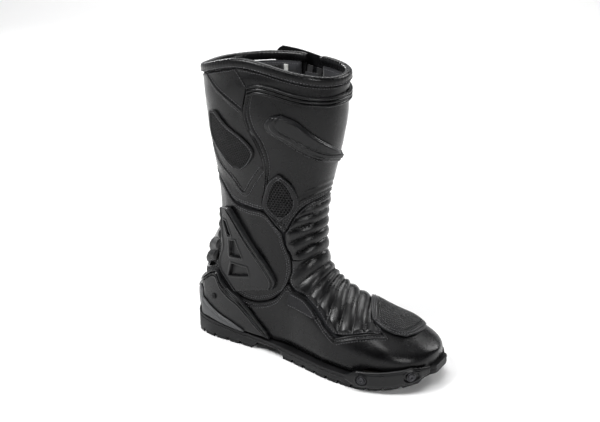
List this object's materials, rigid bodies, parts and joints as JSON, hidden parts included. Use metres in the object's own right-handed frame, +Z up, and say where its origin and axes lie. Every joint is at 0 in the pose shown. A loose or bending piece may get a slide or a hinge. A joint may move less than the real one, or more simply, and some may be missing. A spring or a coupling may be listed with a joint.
{
  "type": "riding boot",
  "caption": "Tall right riding boot with a lugged sole, armoured ankle and shin, bellows instep, and a medial zip under a closure tab.",
  "frame": {"origin": "middle of the bounding box in plan, on the ground under the sole", "axes": "+X heel to toe, +Y to the inner (medial) side of a right foot, +Z up the leg"},
  "size_m": [0.3016, 0.1242, 0.3359],
  "materials": {
    "leather": "fine grain, satin",
    "microfibre": "pebbled microfibre, matt",
    "bellows": "padded and ribbed, satin",
    "armour": "moulded, fine texture",
    "grey_armour": "moulded, grey",
    "rubber": "matt rubber",
    "mesh": "woven abrasion fabric",
    "lining": "knitted textile",
    "board": "fibre board",
    "foam": "fabric over foam",
    "steel": "brushed",
    "zip": "woven tape and moulded coil",
    "slider_metal": "dark satin",
    "hook": "hook-and-loop pile",
    "label": "blank woven tape",
    "dark_label": "blank printed fabric"
  },
  "bodies": {
    "foot": {"outsole": "rubber", "shank": "steel", "insole_board": "board", "footbed": "foam", "quarter_lateral": "microfibre", "quarter_medial": "microfibre", "toe_cap": "microfibre", "instep_bellows": "bellows", "grip_strip_lateral": "mesh", "grip_strip_medial": "mesh", "shift_pad": "armour", "heel_counter": "armour", "heel_insert": "grey_armour", "heel_button": "armour", "heel_lining": "lining", "foot_lining": "lining", "toe_slider": "armour", "slider_washer_rear": "steel", "slider_washer_front": "steel", "slider_screw_rear": "steel", "slider_screw_front": "steel", "ankle_sleeve": "lining", "rear_flex_panel": "bellows", "front_flex_panel": "bellows"},
    "leg": {"ankle_brace": "armour", "ankle_cuff_lateral": "leather", "ankle_cuff_medial": "leather", "ankle_guard_medial": "armour", "calf_mesh": "mesh", "calf_panel_lateral": "leather", "care_tag": "label", "collar_padding": "foam", "front_collar_panel": "leather", "leg_lining": "lining", "loop_patch": "hook", "medial_panel_front": "leather", "medial_panel_rear": "leather", "rear_strip": "leather", "rim_binding": "leather", "shin_panel": "leather", "shin_piping": "leather", "shin_plate": "armour", "size_label": "dark_label", "vent_pad": "mesh", "zip_chain": "zip", "zip_gusset": "lining", "zip_stop_high": "slider_metal", "zip_stop_low": "slider_metal", "zip_tape_front": "zip", "zip_tape_rear": "zip"},
    "zip_slider": {"zip_slider": "slider_metal"},
    "zip_pull": {"zip_pull": "slider_metal"},
    "closure_tab": {"closure_tab": "leather", "hook_patch": "hook"}
  },
  "joints": [
    {"name": "ankle_flex", "type": "hinge", "parent": "foot", "child": "leg", "pos_m": [-0.05966, -0.00029, 0.108], "axis": [0, 1, 0], "range_deg": [-12, 18], "stiffness_Nm_per_rad": 6, "deforming": ["front_flex_panel", "rear_flex_panel", "ankle_sleeve"]},
    {"name": "zip_travel", "type": "slide", "parent": "leg", "child": "zip_slider", "axis": [-0.1046, -0.0901, -0.9904], "range_m": [0, 0.106]},
    {"name": "pull_swing", "type": "hinge", "parent": "zip_slider", "child": "zip_pull", "pos_m": [-0.03589, 0.05593, 0.27453], "axis": [0.9804, -0.1765, -0.0875], "range_deg": [0, 110]},
    {"name": "tab_open", "type": "hinge", "parent": "leg", "child": "closure_tab", "pos_m": [-0.00345, 0.053, 0.29991], "axis": [0.0004, -0.0242, -0.9997], "range_deg": [0, 120]}
  ]
}
